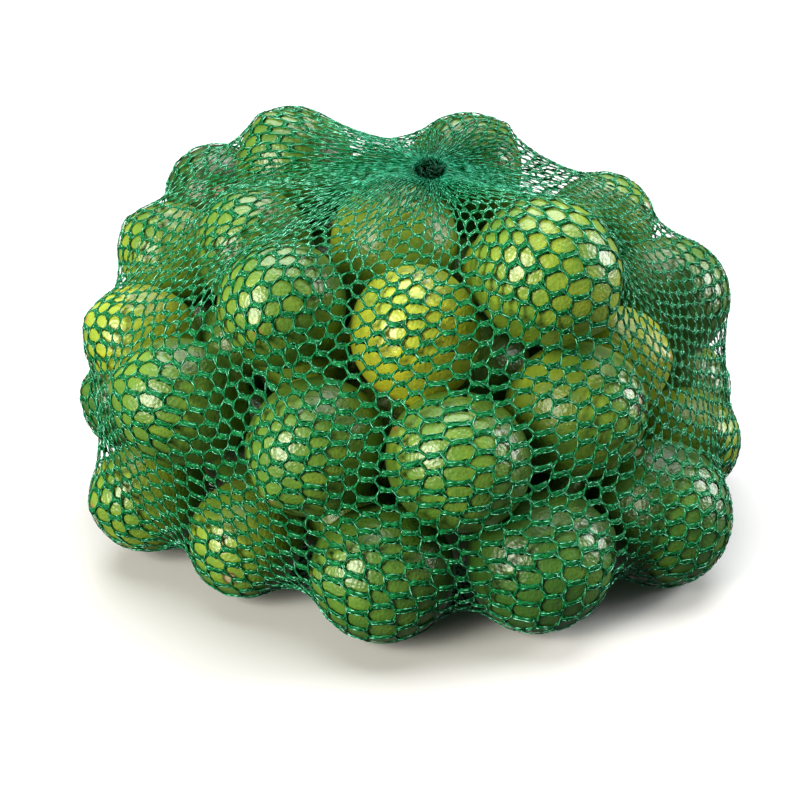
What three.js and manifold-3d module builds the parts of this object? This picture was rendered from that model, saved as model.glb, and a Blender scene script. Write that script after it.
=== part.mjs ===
// Bag of limes: a heap of ripe limes in a knitted net bag, gathered and knotted on top.
// The bag is one closed solid: the net drawn tight over the hollows, the limes that bulge it out,
// the tuft of the knot on top and a flat patch underneath to rest on.
// Millimetres, +Z up. The origin is on the floor, under the middle of the bag.

import * as THREE from 'three';
import { mergeVertices } from 'three/addons/utils/BufferGeometryUtils.js';
import Module from 'manifold-3d';

const wasm = await Module();
wasm.setup();

// Limes that show through the net: centre x, y, z and width
const SHOWN_LIMES = [
  // Lowest row, from left to right
  [-118, 32, 42, 47],
  [-106, -26, 27, 46],
  [-64, -57, 25, 45],
  [-10, -86, 26, 52],
  [48, -79, 26, 54],
  [99, -44, 29, 57],
  [115, 3, 37, 46],
  [119, 46, 40, 46],
  // Second row, from left to right
  [-109, 4, 83, 46],
  [-88, -42, 76, 51],
  [-35, -71, 72, 52],
  [18, -80, 70, 52],
  [63, -51, 77, 53],
  [84, -3, 78, 46],
  [107, 32, 88, 53],
  // Third row, from left to right
  [-100, 42, 105, 46],
  [-62, 6, 121, 48],
  [-48, -45, 118, 49],
  [2, -50, 108, 50],
  [50, -45, 131, 55],
  // Top and back, from left to right
  [-86, 82, 119, 45],
  [-48, 50, 141, 50],
  [-6, -2, 127, 51],
  [22, 46, 140, 49],
  [84, 70, 108, 47],
  // Behind the top row, where the heap would have a hollow
  [60, 25, 112, 47],
];

// Limes behind and inside, packed where there is room
const HIDDEN_WIDTH = 47;
const HIDDEN_OVERLAP = 1; // let in before the heap settles
const HEAP_HALF_X = 118; // half axes of the oval through the outer lime centres at the floor
const HEAP_HALF_Y = 86;
const HEAP_CORNERS = 0.7; // 1 makes the oval an ellipse, and less fills its corners
const HEAP_LOW = 25; // height up to which the oval keeps its full size
const HEAP_RISE = 130; // rise over which it closes to a point
const HIDDEN_LEVELS = { first: 24, last: 104, step: 4 };
const INSET_STEP = 8; // from one oval to the next one inside it
const ANGLE_STEP = 4; // degrees
const SETTLE_ROUNDS = 300;
const SETTLE_PUSH = 0.3; // share of an overlap undone in a round
const SHOWN_HOLD = 0.1; // pull of a shown lime back to its own place

// Net
const NET_THICKNESS = 1; // from the peel to the outside of the net
const NET_SAG = 6; // how deep the net lies below the outside of the limes around a hollow
const NET_COLUMNS = 44;
const NET_ROWS = 30; // from the knot to the middle of the flat underside
const NET_ROUNDS = 30; // rounds of drawing the net tight over the hollows between limes
const NECK_ROWS = 9; // rows near the knot, where the net is stretched straight
const NECK_ROUNDS = 100;
const BAG_MIDDLE = new THREE.Vector3(8, 12, 62); // straight under the knot
const BAG_HALF = new THREE.Vector3(138, 98, 92); // half axes that spread the net's points evenly
const REST_HALF_X = 96; // half axes of the ellipse where the underside lies flat on the floor
const REST_HALF_Y = 74;

// Knot
const KNOT_HEIGHT = 153;
const KNOT_NECK = 6.5; // radius at which the net runs into the knot
const KNOT_RINGS = [[4, 5], [5.5, 2], [5, -2]]; // radius and height of the tuft, from its top down
const KNOT_TOP = 6;

const LIME_DETAIL = 3; // splits of each edge of an icosahedron
const MERGE_DISTANCE = 1e-3;

const NET_GREEN = 0x1f8a5a;

function shownLimes() {
  return SHOWN_LIMES.map(([x, y, z, width]) => ({
    centre: new THREE.Vector3(x, y, z),
    home: new THREE.Vector3(x, y, z),
    radius: width / 2,
  }));
}

/** How far the oval of lime centres has closed at a height: 1 at the floor, 0 at the top. */
function heapLevel(height) {
  const risen = (height - HEAP_LOW) / HEAP_RISE;
  return Math.sqrt(Math.max(0, 1 - risen ** 3));
}

/** Turns the sine or cosine of an angle on a circle into that on an oval with full corners. */
function fuller(share) {
  return Math.sign(share) * Math.abs(share) ** HEAP_CORNERS;
}

/** Adds hidden limes from the floor up and from the rim in, one wherever there is room. */
function packHidden(limes) {
  const radius = HIDDEN_WIDTH / 2;
  const { first, last, step } = HIDDEN_LEVELS;
  for (let z = first; z <= last; z += step) {
    const level = heapLevel(z);
    for (let inset = 0; inset <= HEAP_HALF_Y * level; inset += INSET_STEP) {
      for (let turn = 0; turn < 360; turn += ANGLE_STEP) {
        const angle = THREE.MathUtils.degToRad(90 + turn);
        const centre = new THREE.Vector3(
          (HEAP_HALF_X * level - inset) * fuller(Math.cos(angle)),
          (HEAP_HALF_Y * level - inset) * fuller(Math.sin(angle)),
          z,
        );
        const clear = limes.every((lime) => (
          lime.centre.distanceTo(centre) > lime.radius + radius - HIDDEN_OVERLAP
        ));
        if (clear) limes.push({ centre, home: null, radius });
      }
    }
  }
}

/** Pushes limes that overlap apart, keeps shown ones near their places and all of them off the floor. */
function settle(limes) {
  const apart = new THREE.Vector3();
  for (let round = 0; round < SETTLE_ROUNDS; round++) {
    const moves = limes.map(() => new THREE.Vector3());
    limes.forEach((lime, i) => {
      limes.forEach((other, j) => {
        if (i === j) return;
        apart.subVectors(lime.centre, other.centre);
        const overlap = lime.radius + other.radius - apart.length();
        if (overlap > 0) moves[i].addScaledVector(apart.normalize(), SETTLE_PUSH * overlap);
      });
    });
    limes.forEach((lime, i) => {
      lime.centre.add(moves[i]);
      if (lime.home) lime.centre.lerp(lime.home, SHOWN_HOLD);
      lime.centre.z = Math.max(lime.centre.z, lime.radius + NET_THICKNESS);
    });
  }
}

function heapOfLimes() {
  const limes = shownLimes();
  packHidden(limes);
  settle(limes);
  return limes;
}

/** Angle of a column around the bag; every other row is shifted by half a column. */
function columnAngle(row, column) {
  return (2 * Math.PI * (column + (row % 2) / 2)) / NET_COLUMNS;
}

/** Direction in which a point of the net lies, seen from the middle of the bag. */
function netDirection(row, column) {
  const polar = (Math.PI * row) / NET_ROWS;
  const angle = columnAngle(row, column);
  const direction = new THREE.Vector3(
    BAG_HALF.x * Math.sin(polar) * Math.cos(angle),
    BAG_HALF.y * Math.sin(polar) * Math.sin(angle),
    BAG_HALF.z * Math.cos(polar),
  );
  return direction.normalize();
}

/** Distance from the middle of the bag to the floor that way. */
function floorDistance(direction) {
  return direction.z < 0 ? BAG_MIDDLE.z / -direction.z : Infinity;
}

/** Whether a point on the floor is under the heap, where the limes press the net flat. */
function liesOnFloor(direction, distance) {
  if (distance === Infinity) return false;
  const x = BAG_MIDDLE.x + direction.x * distance;
  const y = BAG_MIDDLE.y + direction.y * distance;
  return Math.hypot(x / REST_HALF_X, y / REST_HALF_Y) < 1;
}

/** Distance from the middle of the bag to the net as it sags on the farthest lime that way, or 0. */
function limeDistance(direction, limes) {
  let farthest = 0;
  const towards = new THREE.Vector3();
  for (const lime of limes) {
    towards.subVectors(lime.centre, BAG_MIDDLE);
    const along = towards.dot(direction);
    const aside = towards.lengthSq() - along * along;
    const reach = (lime.radius + NET_THICKNESS - NET_SAG) ** 2 - aside;
    if (reach > 0) farthest = Math.max(farthest, along + Math.sqrt(reach));
  }
  return farthest;
}

function ring(radius, height, row) {
  return Array.from({ length: NET_COLUMNS }, (_, column) => {
    const angle = columnAngle(row, column);
    return new THREE.Vector3(
      BAG_MIDDLE.x + radius * Math.cos(angle),
      BAG_MIDDLE.y + radius * Math.sin(angle),
      KNOT_HEIGHT + height,
    );
  });
}

/** The net as rows of points, laid on the limes from the knot's neck down to the underside. */
function laidNet(limes) {
  const rows = [ring(KNOT_NECK, 0, 0)];
  for (let row = 1; row < NET_ROWS; row++) {
    rows.push(Array.from({ length: NET_COLUMNS }, (_, column) => {
      const direction = netDirection(row, column);
      const most = floorDistance(direction);
      const flat = liesOnFloor(direction, most);
      const least = flat ? most : Math.min(limeDistance(direction, limes), most);
      const point = new THREE.Vector3().copy(BAG_MIDDLE).addScaledVector(direction, least);
      return Object.assign(point, { direction, least, most });
    }));
  }
  return rows;
}

/** The points that a point of the net is tied to: two each in the rows above and below, two beside it. */
function tiedPoints(net, row, column) {
  const wrap = (index) => (index + NET_COLUMNS) % NET_COLUMNS;
  const shifted = wrap(column + (row % 2 ? 1 : -1));
  const below = row + 1 < net.length ? net[row + 1] : net[row];
  return [
    net[row - 1][column],
    net[row - 1][shifted],
    below[column],
    below[shifted],
    net[row][wrap(column - 1)],
    net[row][wrap(column + 1)],
  ];
}

/** Draws rows of the net tight: a point goes towards its neighbours, but not into a lime or the floor. */
function drawTight(net, endRow, rounds) {
  const mean = new THREE.Vector3();
  for (let round = 0; round < rounds; round++) {
    for (let row = 1; row < endRow; row++) {
      for (let column = 0; column < NET_COLUMNS; column++) {
        const point = net[row][column];
        const ties = tiedPoints(net, row, column);
        mean.set(0, 0, 0);
        for (const end of ties) mean.addScaledVector(end, 1 / ties.length);
        const wanted = mean.sub(BAG_MIDDLE).dot(point.direction);
        const distance = Math.min(Math.max(wanted, point.least), point.most);
        point.copy(BAG_MIDDLE).addScaledVector(point.direction, distance);
      }
    }
  }
}

/** Rows of the knot's tuft, from its top ring down to the net. */
function knotRows() {
  return KNOT_RINGS.map(([radius, height], index) => ring(radius, height, KNOT_RINGS.length - index));
}

/** Closed surface over rows of points, shifted by turns from the first one on, with a point at each end. */
function closedSurface(rows, top, bottom) {
  const positions = [];
  const indices = [];
  for (const point of [...rows.flat(), top, bottom]) positions.push(point.x, point.y, point.z);
  const topIndex = rows.length * NET_COLUMNS;
  const bottomIndex = topIndex + 1;
  const lastRow = (rows.length - 1) * NET_COLUMNS;
  for (let column = 0; column < NET_COLUMNS; column++) {
    const next = (column + 1) % NET_COLUMNS;
    indices.push(topIndex, column, next);
    for (let row = 0; row + 1 < rows.length; row++) {
      const upper = row * NET_COLUMNS;
      const lower = upper + NET_COLUMNS;
      const shifted = row % 2 === 0;
      if (shifted) {
        indices.push(upper + column, lower + column, lower + next);
        indices.push(upper + column, lower + next, upper + next);
      } else {
        indices.push(upper + column, lower + column, upper + next);
        indices.push(upper + next, lower + column, lower + next);
      }
    }
    indices.push(lastRow + next, lastRow + column, bottomIndex);
  }
  const geometry = new THREE.BufferGeometry();
  geometry.setAttribute('position', new THREE.Float32BufferAttribute(positions, 3));
  geometry.setIndex(indices);
  return geometry;
}

function netGeometry(limes) {
  const net = laidNet(limes);
  drawTight(net, NET_ROWS, NET_ROUNDS);
  drawTight(net, NECK_ROWS, NECK_ROUNDS);
  const knot = knotRows();
  const top = new THREE.Vector3(BAG_MIDDLE.x, BAG_MIDDLE.y, KNOT_HEIGHT + KNOT_TOP);
  const bottom = new THREE.Vector3(BAG_MIDDLE.x, BAG_MIDDLE.y, 0);
  return closedSurface([...knot, ...net], top, bottom);
}

function limeGeometry(lime) {
  const geometry = new THREE.IcosahedronGeometry(lime.radius + NET_THICKNESS, LIME_DETAIL);
  geometry.deleteAttribute('normal');
  geometry.deleteAttribute('uv');
  geometry.translate(lime.centre.x, lime.centre.y, lime.centre.z);
  return mergeVertices(geometry, MERGE_DISTANCE);
}

function toSolid(geometry) {
  const vertProperties = geometry.attributes.position.array;
  const triVerts = Uint32Array.from(geometry.index.array);
  return new wasm.Manifold(new wasm.Mesh({ numProp: 3, vertProperties, triVerts }));
}

function toGeometry(solid) {
  const { vertProperties, triVerts } = solid.getMesh();
  const geometry = new THREE.BufferGeometry();
  geometry.setAttribute('position', new THREE.BufferAttribute(vertProperties, 3));
  geometry.setIndex(new THREE.BufferAttribute(triVerts, 1));
  return geometry;
}

/** Puts the middle of the bag over the origin. */
function centreOnFloor(geometry) {
  geometry.computeBoundingBox();
  const middle = geometry.boundingBox.getCenter(new THREE.Vector3());
  geometry.translate(-middle.x, -middle.y, -geometry.boundingBox.min.z);
}

function netBag() {
  const limes = heapOfLimes();
  const net = toSolid(netGeometry(limes));
  const solid = limes.reduce((bag, lime) => bag.add(toSolid(limeGeometry(lime))), net);
  const geometry = toGeometry(solid);
  centreOnFloor(geometry);
  geometry.computeVertexNormals();
  const material = new THREE.MeshStandardMaterial({ color: NET_GREEN, roughness: 0.5, metalness: 0 });
  const mesh = new THREE.Mesh(geometry, material);
  mesh.name = 'net_bag';
  return mesh;
}

const bagOfLimes = new THREE.Group();
bagOfLimes.add(netBag());

export default bagOfLimes;
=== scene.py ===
"""Bag of limes: a heap of ripe limes in a knitted green net, gathered and knotted on top."""
import math

import bpy
import numpy as np
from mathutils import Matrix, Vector
from mathutils.kdtree import KDTree


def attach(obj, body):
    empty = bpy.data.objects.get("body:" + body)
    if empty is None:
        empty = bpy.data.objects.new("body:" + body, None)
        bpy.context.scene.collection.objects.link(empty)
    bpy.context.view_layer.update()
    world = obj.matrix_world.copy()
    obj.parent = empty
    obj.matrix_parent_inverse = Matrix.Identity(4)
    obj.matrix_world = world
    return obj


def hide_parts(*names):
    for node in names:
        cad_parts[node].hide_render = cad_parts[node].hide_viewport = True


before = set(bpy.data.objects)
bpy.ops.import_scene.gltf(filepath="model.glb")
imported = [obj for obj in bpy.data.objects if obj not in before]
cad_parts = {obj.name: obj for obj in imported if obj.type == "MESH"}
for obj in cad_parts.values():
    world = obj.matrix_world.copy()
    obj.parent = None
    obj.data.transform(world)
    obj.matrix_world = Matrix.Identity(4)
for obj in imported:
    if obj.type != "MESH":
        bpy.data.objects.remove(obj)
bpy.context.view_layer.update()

# Sizes are in millimetres until a mesh is made
MM = 0.001
SEED = 7

# Limes that show: centre x, y, z, width, ripeness (0 dark green to 1 yellow), bearing and tilt of the tip
SHOWN_LIMES = (
    # Lowest row, from left to right
    (-118, 32, 42, 47, 0.22, 200, 20),
    (-106, -26, 27, 46, 0.53, 215, 5),
    (-64, -57, 25, 45, 0.56, 79, 13),
    (-10, -86, 26, 52, 0.38, 205, 10),
    (48, -79, 26, 54, 0.30, 10, 20),
    (99, -44, 29, 57, 0.34, 3, -67),
    (115, 3, 37, 46, 0.58, 300, 30),
    (119, 46, 40, 46, 0.50, 40, 10),
    # Second row, from left to right
    (-109, 4, 83, 46, 0.68, 200, 30),
    (-88, -42, 76, 51, 0.46, 190, 20),
    (-35, -71, 72, 52, 0.43, 235, -20),
    (18, -80, 70, 52, 0.44, 195, 35),
    (63, -51, 77, 53, 0.55, 150, -19),
    (84, -3, 78, 46, 0.72, 330, 15),
    (107, 32, 88, 53, 0.38, 60, 25),
    # Third row, from left to right
    (-100, 42, 105, 46, 0.54, 160, 30),
    (-62, 6, 121, 48, 0.43, 120, 50),
    (-48, -45, 118, 49, 0.42, 255, 0),
    (2, -50, 108, 50, 0.78, 274, -50),
    (50, -45, 131, 55, 0.56, 328, -29),
    # Top and back, from left to right
    (-86, 82, 119, 45, 0.22, 99, -22),
    (-48, 50, 141, 50, 0.40, 200, 60),
    (-6, -2, 127, 51, 0.6, 90, 40),
    (22, 46, 140, 49, 0.36, 20, 45),
    (84, 70, 108, 47, 0.45, 330, 30),
    # Behind the top row, where the heap would have a hollow
    (60, 25, 112, 47, 0.42, 30, 40),
)

# Limes behind and inside, packed where there is room
HIDDEN_WIDTH = 47
HIDDEN_RIPENESS = (0.28, 0.6)
HIDDEN_TILT = (-60, 60)
HIDDEN_OVERLAP = 1  # let in before the heap settles
HEAP_HALF_X = 118  # half axes of the oval through the outer lime centres at the floor
HEAP_HALF_Y = 86
HEAP_CORNERS = 0.7  # 1 makes the oval an ellipse, and less fills its corners
HEAP_LOW = 25  # height up to which the oval keeps its full size
HEAP_RISE = 130  # rise over which it closes to a point
HEAP_BULGE = 3  # more keeps it wide for longer
HIDDEN_HEIGHTS = range(24, 105, 4)
INSET_STEP = 8  # from one oval to the next one inside it
ANGLE_STEP = 4
SETTLE_ROUNDS = 300
SETTLE_PUSH = 0.3  # share of an overlap undone in a round
SHOWN_HOLD = 0.1  # pull of a shown lime back to its own place

# Small limes that fill the largest gaps inside the net
FILL_STEP = 5  # between the spots that are tried
FILL_LEAST = 13  # smallest half width
FILL_OVERLAP = 2
FILL_DEPTH = 3  # from the net to the peel

# Shape of a lime, as shares of half its width
LIME_ACROSS = 0.985
LIME_ALONG = 1.05
TIP_HEIGHT = 0.075
TIP_SPREAD = 0.02
STEM_DIP = 0.03
STEM_SPREAD = 0.012
LUMP_HEIGHT = 0.006
LUMP_WAVES = 3
LUMP_TURNS = 1.6  # spread of the waves' turns over half a width, in radians
LIME_SEGMENTS = 44
LIME_RINGS = 30
RINGS_TO_POLES = 0.45  # how much closer the rings are at the tip and the stem
STEM_SCAR = 0.007
TIP_SCAR = 0.0012
RIPER_TIP = 0.06  # ripeness that the tip has more, and the stem less, than the middle
NEARLY_UPRIGHT = 0.9  # upward share of a tip's direction
NEAR_PEEL = 0.15 * HIDDEN_WIDTH  # reach in which a point is tested against a lime
LEAST_SQUARED = 1e-6  # keeps a rounded square above zero
ATLAS_SIDE = 9
ATLAS_MARGIN = 0.03

# Net: wales run down from the knot, and courses run round
NET_THICKNESS = 1.0
NET_LIFT = 0.5  # from the peel to the middle of a strand
FLOOR_LIFT = 1.1
WALES = 112
COURSES = 82
SLACK_LENGTH = 2.6  # of a strand from one course to the next before it pulls
SLACK_ENDS = (1.6, 0.8)  # times as much at the knot, and at the bottom
FRICTION = 0.9
HOOP_PULL = 0.21  # pull round the bag, against that down it
HOOP_START = (0.1, 0.25)  # share of that pull at the knot, and share of the courses until it is full
PULL_STEP = 0.42
COARSE_ROUNDS = 900
FINE_ROUNDS = 350
UNEVEN_SLACK = 0.3
UNEVEN_PULL = 0.5
LOOSE_HALF = (165, 130, 100)  # half axes of the loose bag that is drawn tight
LOOSE_MIDDLE = 78
LOOSE_SPREAD = 0.8  # 1 makes it an ellipsoid, and less spreads its ends sideways
KNOT = (8, 12, 153)
KNOT_NECK = 7
KNOT_LEAN = 2.4  # rise of its far side, and drop of its near one
BOTTOM_NECK = 4

# Strands inside the knot's hollow, from their ends out to its rim: radius, height and turn in degrees.
# Most are tucked under the rim, and the others curl up in the hollow
KNOT_TUCK = ((1, -9, 0), (3, -9, 0), (5.5, -8.5, 0), (7.5, -7.5, 0),
             (8.5, -5.8, 0), (8.2, -3.8, 0), (7.2, -2.2, 0), (6.5, -0.9, 0))
KNOT_CURL = ((4.8, -1.2, 170), (3.8, 0.5, 130), (2.4, 0.9, 95), (1.4, -0.8, 60),
             (1.8, -3.2, 35), (2.8, -4.3, 18), (4.2, -3.4, 8), (5.9, -1.3, 0))
CURL_EVERY = 7
KNOT_MESS = 0.9

# Strands of the net: flat tapes that run down it, two fine threads twisted round each, and cross tapes
TAPE_SECTION = ((1, 0), (0, 1), (-1, 0), (0, -1))
THREAD_SECTION = ((0.87, -0.5), (0, 1), (-0.87, -0.5))
WALE_HALF_WIDTH = 0.55
WALE_HALF_THICK = 0.08
WALE_LEAN = 0.35
GATHER_NARROWER = 0.4  # share of its width that a tape loses at the knot
GATHER_COURSES = 9  # courses over which the strands spread out from the knot
THREAD_ASIDE = 0.8
THREAD_OVER = 0.3
THREAD_RADIUS = 0.17
THREAD_LOOSE = (0.5, 1.5)
THREAD_LEAN = 1
THREAD_TURN = math.pi  # about its tape, from one course to the next
BAND_HALF_WIDTH = 1.1
BAND_LEAST = 0.25  # share of that width that the shortest cross tapes keep
BAND_HALF_THICK = 0.08
BAND_FULL_LENGTH = 3.2  # length from which a cross tape has its full width
BAND_LEAN = 0.2
BAND_FLARE = (1.5, 1.0, 1.0, 1.5)  # width along a cross tape, wider where it joins the wales
BAND_UV_COLUMNS = 40
TIE_ASIDE = (0.3, 0.75, 0.75, 0.3)
TIE_OVER = 0.22
CAP_CORNERS = (0, 0.3, 0.6)  # places of a strand's end in its texture

# Peel: colours by ripeness, and noises as scale, detail and swing
PEEL_COLOURS = (
    (0.0, (0.014, 0.045, 0.008)),
    (0.3, (0.044, 0.128, 0.016)),
    (0.5, (0.11, 0.226, 0.025)),
    (0.7, (0.275, 0.38, 0.03)),
    (0.88, (0.50, 0.53, 0.03)),
    (1.0, (0.62, 0.47, 0.035)),
)
PEEL_PATCHES = (45, 3, 0.5)
PEEL_BLOTCHES = (220, 2, 0.2)
PORE_SCALE = 720.0
PORE_SHADE = ((0.0, (0.55, 0.55, 0.55)), (0.35, (1, 1, 1)))
PORE_SHARE = 0.5
STEM_EDGE = ((0.15, (0, 0, 0)), (0.4, (1, 1, 1)))
STEM_COLOURS = ((0.4, (0.07, 0.055, 0.018)), (0.65, (0.42, 0.35, 0.19)))
TIP_COLOUR = (0.3, 0.09, 0.03, 1)
PEEL_GRAIN = (900, 2)
GRAIN_SHARE = 0.5
PEEL_BUMP = {"Strength": 0.45, "Distance": 0.0005}
PEEL_SHEEN = (150, 3)
PEEL_ROUGHNESS = (0.27, 0.4)
PEEL_COAT = 0.2
PEEL_COAT_ROUGHNESS = 0.2

# Net's plastic: colours by noise, with painted glints on the threads, and painted shade by the distance
# from the knot's hollow
TAPE_COLOURS = ((0.38, (0.004, 0.085, 0.02)), (0.64, (0.01, 0.18, 0.045)))
TAPE_CREASES = (600, 2)
TAPE_ROUGHNESS = 0.25
# Thread colours by noise along each strand; the palest, mint stop is a painted glint
THREAD_COLOURS_AND_GLINTS = ((0.44, (0.004, 0.11, 0.03)), (0.54, (0.02, 0.3, 0.13)), (0.64, (0.36, 0.95, 0.72)))
THREAD_NOISE = (1, 2)
THREAD_GLINT_FLECKS = (170, 415, 1)  # along a strand, and from strand to strand
THREAD_ROUGHNESS = 0.2
NET_CREASES = (1800, 2)
NET_BUMP = {"Strength": 0.4, "Distance": 0.0003}
NET_SHINE = 0.2
NET_SHINE_TINT = (0.12, 0.9, 0.55, 1)
# Painted shade round the knot's hollow: its middle from the knot, its reach, and the darkening by share of
# that reach
KNOT_PAINTED_SHADE_MIDDLE = (0, -1, -2)
KNOT_PAINTED_SHADE_REACH = 50
KNOT_PAINTED_SHADE = (
    (0.06, (0.03, 0.08, 0.06)),
    (0.2, (0.15, 0.5, 0.45)),
    (0.7, (0.45, 0.8, 0.75)),
    (1.0, (1, 1, 1)),
)

# Camera: the photo's view, 800 pixels square
CAMERA_AIM = (-2, -30, 78)
CAMERA_BEARING = -90  # degrees from +X, seen from above
CAMERA_ELEVATION = 25
CAMERA_DISTANCE = 620
FOCAL_PIXELS = 1580
IMAGE_PIXELS = 800
AIM_PIXEL = (405, 385)
SENSOR_WIDTH = 36
CLIP_START = 10

# Lights, with their bearing to the right of the camera and their height angle
LIGHT_AIM = (0, 0, 80)
KEY_LIGHT = {"bearing": -50, "elevation": 23, "distance": 2500}
KEY_SIZE = (1000, 1600)
KEY_POWER = 119
KEY_COLOUR = (1.0, 0.95, 0.82)
RIM_LIGHT = {"bearing": 102, "elevation": 18, "distance": 2000}
RIM_SIZE = (800, 1300)
RIM_POWER = 50
TOP_LIGHT = {"bearing": 180, "elevation": 68, "distance": 1000}
TOP_SPREAD = 60
TOP_POWER = 4.8
WORLD_COLOUR = (1, 1, 1, 1)
WORLD_POWER = 0.12

# Floor
FLOOR_HALF = 30000
FLOOR_CORNERS = ((-1, -1, 0), (1, -1, 0), (1, 1, 0), (-1, 1, 0))
FLOOR_COLOUR = (0.6, 0.6, 0.6, 1)
FLOOR_ROUGHNESS = 0.9


def unit(vectors):
    return vectors / np.linalg.norm(vectors, axis=-1, keepdims=True)


def direction(bearing, tilt):
    bearing, tilt = np.radians(bearing), np.radians(tilt)
    level = np.cos(tilt)
    return np.stack([level * np.cos(bearing), level * np.sin(bearing), np.sin(tilt)], axis=-1)


# Heap of limes

def heap_level(height):
    """How far the oval of lime centres has closed at a height: 1 at the floor, 0 at the top."""
    risen = (height - HEAP_LOW) / HEAP_RISE
    return math.sqrt(max(0.0, 1 - risen ** HEAP_BULGE))


def pack_hidden(centres, radii):
    """Adds hidden limes from the floor up and from the rim in, one wherever there is room."""
    radius = HIDDEN_WIDTH / 2
    angles = np.radians(90 + np.arange(0, 360, ANGLE_STEP))
    across, along = (
        np.sign(side) * np.abs(side) ** HEAP_CORNERS for side in (np.cos(angles), np.sin(angles))
    )
    for height in HIDDEN_HEIGHTS:
        level = heap_level(height)
        for inset in np.arange(0, HEAP_HALF_Y * level, INSET_STEP):
            ring = np.stack([
                (HEAP_HALF_X * level - inset) * across,
                (HEAP_HALF_Y * level - inset) * along,
                np.full(len(angles), float(height)),
            ], axis=1)
            for spot in ring:
                apart = np.linalg.norm(np.array(centres) - spot, axis=1)
                if np.all(apart > np.array(radii) + radius - HIDDEN_OVERLAP):
                    centres.append(spot)
                    radii.append(radius)
    return np.array(centres), np.array(radii)


def settle(centres, radii, shown):
    """Pushes limes that overlap apart, keeps shown ones near their places and all of them off the floor."""
    home = centres[:shown].copy()
    reach = radii[:, None] + radii[None]
    for _ in range(SETTLE_ROUNDS):
        apart = centres[:, None] - centres[None]
        distance = np.linalg.norm(apart, axis=2)
        np.fill_diagonal(distance, np.inf)
        overlap = np.maximum(reach - distance, 0)
        centres = centres + SETTLE_PUSH * (apart * (overlap / distance)[..., None]).sum(axis=1)
        centres[:shown] += SHOWN_HOLD * (home - centres[:shown])
        centres[:, 2] = np.maximum(centres[:, 2], radii + NET_THICKNESS)
    return centres


def heap_of_limes():
    """Centres, half widths, tips and ripeness of the limes over the origin, and how far they were moved."""
    shown = np.array(SHOWN_LIMES, float)
    centres, radii = pack_hidden(list(shown[:, :3]), list(shown[:, 3] / 2))
    centres = settle(centres, radii, len(shown))
    random = np.random.default_rng(SEED)
    hidden = len(centres) - len(shown)
    hidden_tips = direction(random.uniform(0, 360, hidden), random.uniform(*HIDDEN_TILT, hidden))
    tips = np.concatenate([direction(shown[:, 5], shown[:, 6]), hidden_tips])
    ripeness = np.concatenate([shown[:, 4], random.uniform(*HIDDEN_RIPENESS, hidden)])
    low = (centres - radii[:, None]).min(axis=0)
    high = (centres + radii[:, None]).max(axis=0)
    middle = (low + high) / 2 * (1, 1, 0)
    return centres - middle, radii, tips, ripeness, middle


CENTRES, RADII, TIPS, RIPENESS, MIDDLE = heap_of_limes()


def fill_gaps(net, normals):
    """Centres and half widths of small limes that fill the gaps under the net, the largest one first."""
    low, high = net.min(axis=(0, 1)), net.max(axis=(0, 1))
    grid = np.meshgrid(*(np.arange(*side, FILL_STEP) for side in zip(low, high)), indexing="ij")
    spots = np.stack(grid, axis=-1).reshape(-1, 3)
    tree = KDTree(net.size // 3)
    for index, stitch in enumerate(net.reshape(-1, 3)):
        tree.insert(stitch, index)
    tree.balance()
    found = [tree.find(spot)[1] for spot in spots]
    under = net.reshape(-1, 3)[found] - spots
    inside = (under * normals.reshape(-1, 3)[found]).sum(axis=1) > 0
    depth = np.where(inside, np.linalg.norm(under, axis=1), 0) - FILL_DEPTH
    clear = (np.linalg.norm(spots[:, None] - CENTRES[None], axis=2) - RADII).min(axis=1) + FILL_OVERLAP
    room = np.minimum(np.minimum(depth, clear), HIDDEN_WIDTH / 2)
    centres, radii = [], []
    while room.max() > FILL_LEAST:
        best = room.argmax()
        centres.append(spots[best])
        radii.append(room[best])
        room = np.minimum(room, np.linalg.norm(spots - spots[best], axis=1) - room[best] + FILL_OVERLAP)
    return np.array(centres), np.array(radii)


def lime_reach(cosine):
    """Distance from a lime's centre to its peel, by the cosine of the angle to its tip: half width 1."""
    body = 1 / np.sqrt((1 - cosine ** 2) / LIME_ACROSS ** 2 + cosine ** 2 / LIME_ALONG ** 2)
    tip = TIP_HEIGHT * np.exp((cosine - 1) / TIP_SPREAD)
    stem = STEM_DIP * np.exp((-cosine - 1) / STEM_SPREAD)
    return body + tip - stem


# Meshes

def make_piece(name, points, faces, corner_uv, material):
    """A smooth mesh piece of the bag, from points in millimetres and faces of equal corner count."""
    mesh = bpy.data.meshes.new(name)
    corners = faces.shape[1]
    mesh.vertices.add(len(points))
    mesh.vertices.foreach_set("co", (points * MM).ravel())
    mesh.loops.add(faces.size)
    mesh.loops.foreach_set("vertex_index", faces.ravel())
    mesh.polygons.add(len(faces))
    mesh.polygons.foreach_set("loop_start", np.arange(0, faces.size, corners))
    mesh.polygons.foreach_set("use_smooth", np.ones(len(faces), bool))
    layer = mesh.uv_layers.new(name="OFBake")
    layer.data.foreach_set("uv", corner_uv.ravel())
    mesh.update(calc_edges=True)
    mesh.validate()
    mesh.materials.append(material)
    piece = bpy.data.objects.new(name, mesh)
    bpy.context.scene.collection.objects.link(piece)
    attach(piece, "root")
    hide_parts("net_bag")
    return piece


def add_values(piece, name, values):
    attribute = piece.data.attributes.new(name, "FLOAT", "POINT")
    attribute.data.foreach_set("value", values.astype(np.float32))


def tile_uv(uv, tile, side):
    """Puts unit-square coordinates into one tile of a square atlas."""
    inner = ATLAS_MARGIN + uv * (1 - 2 * ATLAS_MARGIN)
    corner = np.array([tile % side, tile // side])
    return (inner + corner) / side


def lime_frame(tip):
    """Two directions across a lime, and the direction of its tip."""
    level = np.cross(tip, (0.0, 0.0, 1.0) if abs(tip[2]) < NEARLY_UPRIGHT else (1.0, 0.0, 0.0))
    aside = unit(level)
    return aside, np.cross(tip, aside), tip


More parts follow.
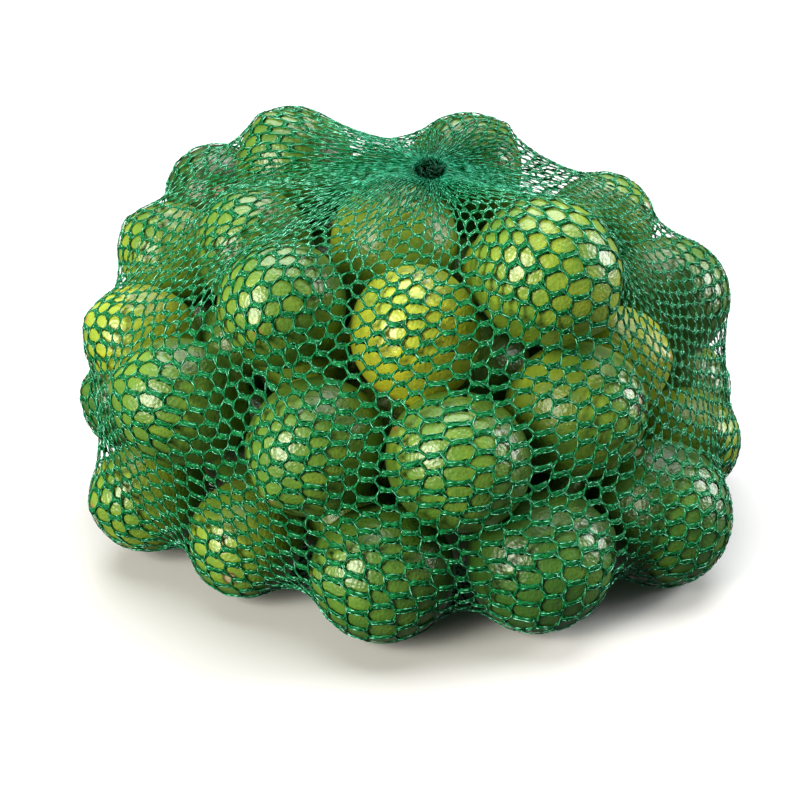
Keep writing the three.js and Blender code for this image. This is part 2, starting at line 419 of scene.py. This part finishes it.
def lime_directions():
    """Unit directions from a lime's middle to its peel, ring by ring from its tip to its stem."""
    share = np.linspace(0, 1, LIME_RINGS + 1)
    polar = math.pi * (share - RINGS_TO_POLES * np.sin(2 * math.pi * share) / (2 * math.pi))
    around = 2 * math.pi * np.arange(LIME_SEGMENTS) / LIME_SEGMENTS
    polar, around = np.meshgrid(polar[1:-1], around, indexing="ij")
    ring = np.stack([np.sin(polar) * np.cos(around), np.sin(polar) * np.sin(around), np.cos(polar)], axis=2)
    return np.concatenate([[[0, 0, 1.0]], ring.reshape(-1, 3), [[0, 0, -1.0]]])


def lime_faces():
    """Triangles of a lime, with their corners' places in a unit square."""
    rings = LIME_RINGS - 1
    faces, places = [], []
    last = 1 + rings * LIME_SEGMENTS
    for segment in range(LIME_SEGMENTS):
        following = (segment + 1) % LIME_SEGMENTS
        left, right = segment / LIME_SEGMENTS, (segment + 1) / LIME_SEGMENTS
        middle = (left + right) / 2
        faces.append((0, 1 + segment, 1 + following))
        places.append(((middle, 0), (left, 1 / LIME_RINGS), (right, 1 / LIME_RINGS)))
        for ring in range(rings - 1):
            upper, lower = 1 + ring * LIME_SEGMENTS, 1 + (ring + 1) * LIME_SEGMENTS
            top, bottom = (ring + 1) / LIME_RINGS, (ring + 2) / LIME_RINGS
            faces.append((upper + segment, lower + segment, lower + following))
            places.append(((left, top), (left, bottom), (right, bottom)))
            faces.append((upper + segment, lower + following, upper + following))
            places.append(((left, top), (right, bottom), (right, top)))
        ring = 1 + (rings - 1) * LIME_SEGMENTS
        faces.append((ring + segment, last, ring + following))
        places.append(((left, rings / LIME_RINGS), (middle, 1), (right, rings / LIME_RINGS)))
    return np.array(faces), np.array(places)


def all_limes(fill_centres, fill_radii):
    """Centres, half widths, tips and ripeness of the heap's limes and of the small ones in its gaps."""
    random = np.random.default_rng(SEED + 6)
    count = len(fill_radii)
    fill_tips = direction(random.uniform(0, 360, count), random.uniform(*HIDDEN_TILT, count))
    fill_ripeness = random.uniform(*HIDDEN_RIPENESS, count)
    centres = np.concatenate([CENTRES, fill_centres])
    radii = np.concatenate([RADII, fill_radii])
    tips = np.concatenate([TIPS, fill_tips])
    return centres, radii, tips, np.concatenate([RIPENESS, fill_ripeness])


def make_limes(fill_centres, fill_radii, material):
    """All limes as one piece, each with its own size, lean, lumps and ripeness."""
    centres, radii, tips, base_ripeness = all_limes(fill_centres, fill_radii)
    local = lime_directions()
    faces, places = lime_faces()
    cosine = local[:, 2]
    random = np.random.default_rng(SEED + 1)
    points, all_faces, uv, ripeness = [], [], [], []
    for index, (centre, radius, tip) in enumerate(zip(centres, radii, tips)):
        aside, across, along = lime_frame(tip)
        outward = local @ np.array([aside, across, along])
        waves = random.normal(0, LUMP_TURNS, (LUMP_WAVES, 3))
        phases = random.uniform(0, 2 * math.pi, LUMP_WAVES)
        lumps = LUMP_HEIGHT * np.sin(local @ waves.T + phases).sum(axis=1)
        reach = radius * (lime_reach(cosine) + lumps)
        all_faces.append(faces + index * len(local))
        peel = centre + outward * reach[:, None]
        peel[:, 2] = np.maximum(peel[:, 2], NET_LIFT)
        points.append(peel)
        uv.append(tile_uv(places, index, ATLAS_SIDE))
        ripeness.append(base_ripeness[index] + RIPER_TIP * cosine)
    piece = make_piece("limes", np.concatenate(points), np.concatenate(all_faces), np.concatenate(uv),
                       material)
    add_values(piece, "ripeness", np.concatenate(ripeness))
    add_values(piece, "stem", np.tile(np.exp(-(1 + cosine) / STEM_SCAR), len(radii)))
    add_values(piece, "tip", np.tile(np.exp(-(1 - cosine) / TIP_SCAR), len(radii)))


# Net, drawn tight over the limes

def push_out(points, lift):
    """Moves points that are inside a lime or the floor out to the given distance from it."""
    flat = points.reshape(-1, 3)
    squared = (flat ** 2).sum(axis=1)[:, None] - 2 * flat @ CENTRES.T + (CENTRES ** 2).sum(axis=1)
    depth = RADII - np.sqrt(np.maximum(squared, LEAST_SQUARED))
    nearest = depth.argmax(axis=1)
    close = np.nonzero(depth[np.arange(len(flat)), nearest] > -NEAR_PEEL)[0]
    lime = nearest[close]
    away = flat[close] - CENTRES[lime]
    distance = np.linalg.norm(away, axis=1)
    cosine = (away * TIPS[lime]).sum(axis=1) / distance
    wanted = RADII[lime] * lime_reach(cosine) + lift
    inside = distance < wanted
    flat[close[inside]] = CENTRES[lime[inside]] + away[inside] * (wanted / distance)[inside, None]
    flat[:, 2] = np.maximum(flat[:, 2], FLOOR_LIFT)
    return flat.reshape(points.shape)


def neck(middle, radius, columns):
    """A level ring of stitches."""
    angle = 2 * math.pi * np.arange(columns) / columns
    ring = np.stack([np.cos(angle), np.sin(angle), 0 * angle], axis=1)
    return np.asarray(middle) + radius * ring


def knot_ring(radius, height, turn, columns):
    """A ring of the knot, its far side higher than the near one."""
    angle = 2 * math.pi * np.arange(columns) / columns + np.radians(turn)
    rise = height + KNOT_LEAN * np.sin(angle) * radius / KNOT_NECK
    return KNOT - MIDDLE + np.stack([radius * np.cos(angle), radius * np.sin(angle), rise], axis=1)


def knot_strands():
    """Rows of strands in the knot's hollow, from their ends, tucked under or curled, out to the net."""
    random = np.random.default_rng(SEED + 5)
    curled = (np.arange(WALES) % CURL_EVERY == 0)[:, None]
    rows = []
    for index, (tuck, curl) in enumerate(zip(KNOT_TUCK, KNOT_CURL)):
        mess = KNOT_MESS * (1 - index / len(KNOT_CURL))
        row = np.where(curled, knot_ring(*curl, WALES), knot_ring(*tuck, WALES))
        rows.append(row + random.normal(0, mess, (WALES, 3)))
    return np.array(rows)


def loose_net(columns, rows):
    """The net as rows of stitches on a loose bag, from the knot down to the gathered bottom."""
    polar = math.pi * np.arange(rows + 1)[:, None] / rows
    angle = 2 * math.pi * np.arange(columns)[None] / columns
    x = LOOSE_HALF[0] * np.sin(polar) ** LOOSE_SPREAD * np.cos(angle)
    y = LOOSE_HALF[1] * np.sin(polar) * np.sin(angle)
    z = LOOSE_MIDDLE + LOOSE_HALF[2] * np.cos(polar) + 0 * angle
    return np.stack([x, y, np.maximum(z, FLOOR_LIFT)], axis=2)


def hold_ends(net):
    """Pins the first row around the knot and the last one under the heap."""
    columns = net.shape[1]
    net[0] = knot_ring(KNOT_NECK, 0, 0, columns)
    net[-1] = neck((0, 0, FLOOR_LIFT), BOTTOM_NECK, columns)


def tied_column(net):
    """Column that each stitch is tied to sideways: by turns the next one and the one before."""
    row, column = np.indices(net.shape[:2])
    columns = net.shape[1]
    return row, np.where((row + column) % 2 == 0, column + 1, column - 1) % columns


def tighten(net, slack, rounds):
    """Draws the net tight: stitches go towards those that they are tied to, and rub on the limes."""
    hold_ends(net)
    random = np.random.default_rng(SEED + 2)
    row, mate = tied_column(net)
    row, mate = row[1:-1], mate[1:-1]
    slack = slack * np.linspace(*SLACK_ENDS, net.shape[0] - 1)[:, None, None]
    slack = slack * (1 + UNEVEN_SLACK * random.uniform(-1, 1, (net.shape[0] - 1, net.shape[1], 1)))
    pull = HOOP_PULL * (1 + UNEVEN_PULL * random.uniform(-1, 1, (net.shape[0] - 2, net.shape[1], 1)))
    share = np.arange(1, net.shape[0] - 1)[:, None, None] / net.shape[0]
    pull = pull * np.clip(share / HOOP_START[1], HOOP_START[0], 1)
    for _ in range(rounds):
        step = np.diff(net, axis=0)
        along = step * (1 - slack / np.linalg.norm(step, axis=2, keepdims=True))
        across = net[row, mate] - net[1:-1]
        moved = net[1:-1] + PULL_STEP * (along[1:] - along[:-1] + pull * across)
        held = push_out(moved.copy(), NET_LIFT)
        pressed = np.linalg.norm(held - moved, axis=2, keepdims=True)
        slid = np.linalg.norm(held - net[1:-1], axis=2, keepdims=True)
        net[1:-1] = np.where(slid < FRICTION * pressed, net[1:-1], held)
    return net


def finer(net):
    """The same net with twice as many wales and courses."""
    wider = np.empty((net.shape[0], 2 * net.shape[1], 3))
    wider[:, ::2] = net
    wider[:, 1::2] = (net + np.roll(net, -1, axis=1)) / 2
    longer = np.empty((2 * net.shape[0] - 1, wider.shape[1], 3))
    longer[::2] = wider
    longer[1::2] = (wider[1:] + wider[:-1]) / 2
    return longer


def tight_net():
    """The net drawn tight over the limes, first with every other wale and course."""
    coarse = tighten(loose_net(WALES // 2, COURSES // 2), 2 * SLACK_LENGTH, COARSE_ROUNDS)
    return tighten(finer(coarse), SLACK_LENGTH, FINE_ROUNDS)


def halfway(path):
    """Adds a point on the smooth curve halfway between each two points along the first axis."""
    ends = np.concatenate([path[:1], path, path[-1:]])
    # Middle of the cubic curve through four points in a row
    middle = (9 * (ends[1:-2] + ends[2:-1]) - ends[:-3] - ends[3:]) / 16
    finer_path = np.empty((2 * len(path) - 1,) + path.shape[1:])
    finer_path[::2] = path
    finer_path[1::2] = middle
    return finer_path


# Strands

def tube(centre, wide, thick, section):
    """Points of a strand: its centre line, with its section spread by half its width and thickness."""
    return np.stack([centre + across * wide + over * thick for across, over in section], axis=-2)


def tube_faces(steps, sides):
    """Triangles of one closed strand of a number of steps, and their corners' places in a unit square."""
    faces, places = [], []
    for step in range(steps):
        low, high = step / steps, (step + 1) / steps
        for side in range(sides):
            here, beside = sides * step + side, sides * step + (side + 1) % sides
            ahead, across = here + sides, beside + sides
            left, right = side / sides, (side + 1) / sides
            faces += [(here, ahead, across), (here, across, beside)]
            places.append(((low, left), (high, left), (high, right)))
            places.append(((low, left), (high, right), (low, right)))
    last = sides * steps
    first, second, third = CAP_CORNERS
    for side in range(1, sides - 1):
        faces += [(0, side, side + 1), (last, last + side + 1, last + side)]
        places += [((0, first), (0, second), (0, third)), ((1, first), (1, third), (1, second))]
    return np.array(faces), np.array(places)


def make_strands(names, strands, uv_columns, material):
    """Joins strands, an array of strand, station, side and xyz, into pieces of the net of like size."""
    stations, sides = strands.shape[1:3]
    faces, places = tube_faces(stations - 1, sides)
    inner = ATLAS_MARGIN + places * (1 - 2 * ATLAS_MARGIN)
    for name, part in zip(names, np.array_split(strands, len(names))):
        index = np.arange(len(part))
        tiles = np.stack([index % uv_columns, index // uv_columns], axis=1)
        uv = (inner[None] + tiles[:, None, None]) / (uv_columns, math.ceil(len(part) / uv_columns))
        part_faces = faces[None] + index[:, None, None] * (stations * sides)
        make_piece(name, part.reshape(-1, 3), part_faces.reshape(-1, 3), uv.reshape(-1, 2), material)


def net_normals(net):
    """Outward directions of the net at its stitches."""
    around = np.roll(net, -1, axis=1) - np.roll(net, 1, axis=1)
    down = np.gradient(net, axis=0)
    return unit(np.cross(down, around))


def leaned(aside, out, lean):
    """Width and thickness directions of a tape that leans by an angle about its length."""
    return np.cos(lean) * aside + np.sin(lean) * out, np.cos(lean) * out - np.sin(lean) * aside


def make_wales(net, normals, tape, thread):
    """The strands that run down: a flat tape each, with two threads that twist about it below the knot."""
    random = np.random.default_rng(SEED + 3)
    path = push_out(halfway(net), NET_LIFT)
    out = unit(halfway(normals))
    along = unit(np.gradient(path, axis=0))
    aside = unit(np.cross(along, out))
    out = np.cross(aside, along)
    courses_from_knot = np.abs(np.arange(len(path)) / 2 - len(KNOT_CURL))[:, None, None]
    gathered = np.exp(-(courses_from_knot / GATHER_COURSES) ** 2)
    lean = (1 - gathered) * random.uniform(-WALE_LEAN, WALE_LEAN, path.shape[:2])[..., None]
    wide, thick = leaned(aside, out, lean)
    half_width = WALE_HALF_WIDTH * (1 - GATHER_NARROWER * gathered)
    tapes = tube(path, half_width * wide, WALE_HALF_THICK * thick, TAPE_SECTION)
    make_strands(("net_wales_a", "net_wales_b"), tapes.swapaxes(0, 1), 1, tape)
    turn = (THREAD_TURN * np.arange(len(path)) / 2)[:, None, None]
    threads = []
    for sign in (1, -1):
        loose = random.uniform(*THREAD_LOOSE, path.shape[:2])[..., None]
        straight = random.uniform(*THREAD_LOOSE, path.shape[1])[:, None]
        twisted = loose * (THREAD_ASIDE * np.cos(turn) * aside + THREAD_OVER * np.sin(turn) * out)
        parallel = straight * THREAD_ASIDE * aside + sign * THREAD_OVER * out
        offset = sign * (twisted + gathered * (parallel - twisted))
        lean = random.uniform(-THREAD_LEAN, THREAD_LEAN, path.shape[:2])[..., None]
        wide, thick = leaned(aside, out, lean)
        threads.append(tube(path + offset, THREAD_RADIUS * wide, THREAD_RADIUS * thick, THREAD_SECTION))
    threads = np.concatenate(threads, axis=1).swapaxes(0, 1)
    make_strands(("net_threads_a", "net_threads_b"), threads, 1, thread)


def make_bands(net, normals, tape, thread):
    """The cross strands that tie each two wales at every other course: a flat tape with two threads."""
    row, column = np.indices(net.shape[:2])
    tied = (row + column) % 2 == 0
    tied[:len(KNOT_CURL) + 1] = False
    tied[-1] = False
    row, column = row[tied], column[tied]
    mate = (column + 1) % WALES
    start, end = net[row, column], net[row, mate]
    out = unit(normals[row, column] + normals[row, mate])[:, None]
    span = (end - start)[:, None]
    length = np.linalg.norm(span, axis=2, keepdims=True)
    aside = unit(np.cross(span, out))
    share = np.linspace(0, 1, len(BAND_FLARE))[None, :, None]
    path = push_out(start[:, None] + share * span, NET_LIFT)
    random = np.random.default_rng(SEED + 4)
    lean = random.uniform(-BAND_LEAN, BAND_LEAN, path.shape[:2])[..., None]
    wide, thick = leaned(aside, out, lean)
    size = np.clip(length / BAND_FULL_LENGTH, BAND_LEAST, 1) * np.array(BAND_FLARE)[:, None]
    bands = tube(path, BAND_HALF_WIDTH * size * wide, BAND_HALF_THICK * thick, TAPE_SECTION)
    make_strands(("net_bands",), bands, BAND_UV_COLUMNS, tape)
    threads = []
    for sign in (1, -1):
        loose = random.uniform(*THREAD_LOOSE, path.shape[:2])[..., None]
        apart = sign * BAND_HALF_WIDTH * size * np.array(TIE_ASIDE)[:, None] * aside
        offset = apart * loose + TIE_OVER * out
        threads.append(tube(path + offset, THREAD_RADIUS * aside, THREAD_RADIUS * out, THREAD_SECTION))
    make_strands(("net_ties",), np.concatenate(threads), BAND_UV_COLUMNS, thread)


# Materials

class Shader:
    """A node material that is built up node by node."""

    def __init__(self, name):
        self.material = bpy.data.materials.new(name)
        self.material.use_nodes = True
        self.tree = self.material.node_tree
        self.surface = self.tree.nodes["Principled BSDF"]

    def node(self, kind, values=None, **settings):
        node = self.tree.nodes.new(kind)
        for setting, value in settings.items():
            setattr(node, setting, value)
        for socket, value in (values or {}).items():
            if isinstance(value, bpy.types.NodeSocket):
                self.tree.links.new(value, node.inputs[socket])
            else:
                node.inputs[socket].default_value = value
        return node

    def set(self, **sockets):
        for name, value in sockets.items():
            socket = self.surface.inputs[name.replace("_", " ")]
            if isinstance(value, bpy.types.NodeSocket):
                self.tree.links.new(value, socket)
            else:
                socket.default_value = value

    def place(self):
        return self.node("ShaderNodeTexCoord").outputs["Object"]

    def attribute(self, name):
        return self.node("ShaderNodeAttribute", attribute_name=name).outputs["Fac"]

    def math(self, operation, first, second):
        return self.node("ShaderNodeMath", {0: first, 1: second}, operation=operation).outputs[0]

    def vector_math(self, operation, first, second):
        return self.node("ShaderNodeVectorMath", {0: first, 1: second}, operation=operation)

    def mix(self, share, first, second, blend="MIX"):
        values = {0: share, 6: first, 7: second}
        return self.node("ShaderNodeMix", values, data_type="RGBA", blend_type=blend).outputs[2]

    def ramp(self, value, stops):
        node = self.node("ShaderNodeValToRGB", {0: value})
        elements = node.color_ramp.elements
        while len(elements) < len(stops):
            elements.new(0.5)
        for element, (position, colour) in zip(elements, stops):
            element.position = position
            element.color = (*colour, 1)
        return node.outputs[0]

    def noise(self, scale, detail, vector=None):
        values = {"Vector": vector or self.place(), "Scale": scale, "Detail": detail}
        return self.node("ShaderNodeTexNoise", values).outputs[0]

    def swing(self, scale, detail, swing):
        """Noise that swings to both sides of zero."""
        values = {0: self.noise(scale, detail), 1: swing, 2: -swing / 2}
        return self.node("ShaderNodeMath", values, operation="MULTIPLY_ADD").outputs[0]

    def bump(self, height, settings):
        return self.node("ShaderNodeBump", {**settings, "Height": height}).outputs[0]


def peel_material():
    """Waxy lime peel: green to yellow by ripeness, oil pores, a pale stem button and a reddish tip."""
    shader = Shader("lime_peel")
    patched = shader.math("ADD", shader.attribute("ripeness"), shader.swing(*PEEL_PATCHES))
    colour = shader.ramp(shader.math("ADD", patched, shader.swing(*PEEL_BLOTCHES)), PEEL_COLOURS)
    pores = shader.node("ShaderNodeTexVoronoi", {"Vector": shader.place(), "Scale": PORE_SCALE})
    pore_depth = pores.outputs["Distance"]
    dotted = shader.mix(PORE_SHARE, colour, shader.ramp(pore_depth, PORE_SHADE), "MULTIPLY")
    stem = shader.attribute("stem")
    with_stem = shader.mix(shader.ramp(stem, STEM_EDGE), dotted, shader.ramp(stem, STEM_COLOURS))
    with_tip = shader.mix(shader.attribute("tip"), with_stem, TIP_COLOUR)
    grain = shader.math("MULTIPLY", shader.noise(*PEEL_GRAIN), GRAIN_SHARE)
    bump = shader.bump(shader.math("ADD", pore_depth, grain), PEEL_BUMP)
    low, high = PEEL_ROUGHNESS
    roughness = shader.node("ShaderNodeMapRange", {0: shader.noise(*PEEL_SHEEN), 3: low, 4: high})
    shader.set(Base_Color=with_tip, Roughness=roughness.outputs[0], Normal=bump)
    shader.set(Coat_Weight=PEEL_COAT, Coat_Roughness=PEEL_COAT_ROUGHNESS)
    return shader.material


def net_material(name, colours, roughness, by_strand):
    """Shiny green plastic coloured by noise, in space or along each strand, with painted glints on the
    threads and painted shade towards the knot's hollow.
    """
    shader = Shader(name)
    if by_strand:
        strand = shader.node("ShaderNodeUVMap", uv_map="OFBake").outputs[0]
        # Noise along each strand; on the threads its palest flecks are painted glints
        glint_flecks = shader.vector_math("MULTIPLY", strand, THREAD_GLINT_FLECKS).outputs["Vector"]
        level = shader.noise(*THREAD_NOISE, glint_flecks)
    else:
        level = shader.noise(*TAPE_CREASES)
    # Painted shade: the colour is multiplied darker, and less red, towards the knot's hollow
    hollow = Vector(KNOT - MIDDLE + KNOT_PAINTED_SHADE_MIDDLE) * MM
    from_knot = shader.vector_math("DISTANCE", shader.place(), hollow).outputs["Value"]
    painted_shade = shader.ramp(shader.math("DIVIDE", from_knot, KNOT_PAINTED_SHADE_REACH * MM), KNOT_PAINTED_SHADE)
    colour = shader.mix(1.0, shader.ramp(level, colours), painted_shade, "MULTIPLY")
    bump = shader.bump(shader.noise(*NET_CREASES), NET_BUMP)
    shader.set(Base_Color=colour, Roughness=roughness, Normal=bump)
    shader.set(Specular_IOR_Level=NET_SHINE, Specular_Tint=NET_SHINE_TINT)
    return shader.material


# Stage

def point_at(thing, place, target):
    """Puts a camera or light at a place, facing a target."""
    thing.location = Vector(place)
    thing.rotation_euler = (Vector(target) - Vector(place)).to_track_quat("-Z", "Y").to_euler()


def make_camera():
    """The photo's camera."""
    aim = (Vector(CAMERA_AIM) - Vector(MIDDLE)) * MM
    away = Vector(direction(CAMERA_BEARING, CAMERA_ELEVATION))
    data = bpy.data.cameras.new("camera")
    data.sensor_width = SENSOR_WIDTH
    data.lens = SENSOR_WIDTH * FOCAL_PIXELS / IMAGE_PIXELS
    data.shift_x = (IMAGE_PIXELS / 2 - AIM_PIXEL[0]) / IMAGE_PIXELS
    data.shift_y = (AIM_PIXEL[1] - IMAGE_PIXELS / 2) / IMAGE_PIXELS
    data.clip_start = CLIP_START * MM
    camera = bpy.data.objects.new("camera", data)
    bpy.context.scene.collection.objects.link(camera)
    point_at(camera, aim + away * CAMERA_DISTANCE * MM, aim)
    bpy.context.scene.camera = camera


def make_light(name, kind, bearing, elevation, distance):
    """A light that faces the bag."""
    data = bpy.data.lights.new(name, kind)
    light = bpy.data.objects.new(name, data)
    bpy.context.scene.collection.objects.link(light)
    aim = Vector(LIGHT_AIM) * MM
    away = Vector(direction(CAMERA_BEARING + bearing, elevation))
    point_at(light, aim + away * distance * MM, aim)
    return data


def make_soft_box(name, place, size, power):
    """An upright rectangle of light that faces the bag."""
    box = make_light(name, "AREA", **place)
    box.shape = "RECTANGLE"
    box.size, box.size_y = (side * MM for side in size)
    box.energy = power
    return box


def make_lights():
    """A warm soft box at the left front, another at the right, and wide light from above and behind."""
    key = make_soft_box("key", KEY_LIGHT, KEY_SIZE, KEY_POWER)
    key.color = KEY_COLOUR
    make_soft_box("rim", RIM_LIGHT, RIM_SIZE, RIM_POWER)
    top = make_light("top", "SUN", **TOP_LIGHT)
    top.angle = math.radians(TOP_SPREAD)
    top.energy = TOP_POWER


def make_floor():
    """A pale floor that throws no light back on the bag."""
    shader = Shader("floor")
    shader.set(Base_Color=FLOOR_COLOUR, Roughness=FLOOR_ROUGHNESS)
    mesh = bpy.data.meshes.new("floor")
    corners = [Vector(corner) * FLOOR_HALF * MM for corner in FLOOR_CORNERS]
    mesh.from_pydata(corners, [], [(0, 1, 2, 3)])
    mesh.materials.append(shader.material)
    floor = bpy.data.objects.new("floor", mesh)
    bpy.context.scene.collection.objects.link(floor)
    floor.visible_glossy = False
    floor.visible_diffuse = False


def make_world():
    """Faint even light from all round."""
    world = bpy.data.worlds.new("world")
    world.use_nodes = True
    background = world.node_tree.nodes["Background"]
    background.inputs["Color"].default_value = WORLD_COLOUR
    background.inputs["Strength"].default_value = WORLD_POWER
    bpy.context.scene.world = world
    bpy.context.scene.view_settings.view_transform = "Standard"


make_camera()
make_floor()
make_world()
make_lights()
NET = np.concatenate([knot_strands(), tight_net()])
NORMALS = net_normals(NET)
TAPE = net_material("net_tape", TAPE_COLOURS, TAPE_ROUGHNESS, by_strand=False)
THREAD = net_material("net_thread", THREAD_COLOURS_AND_GLINTS, THREAD_ROUGHNESS, by_strand=True)
make_limes(*fill_gaps(NET, NORMALS), peel_material())
make_wales(NET, NORMALS, TAPE, THREAD)
make_bands(NET, NORMALS, TAPE, THREAD)
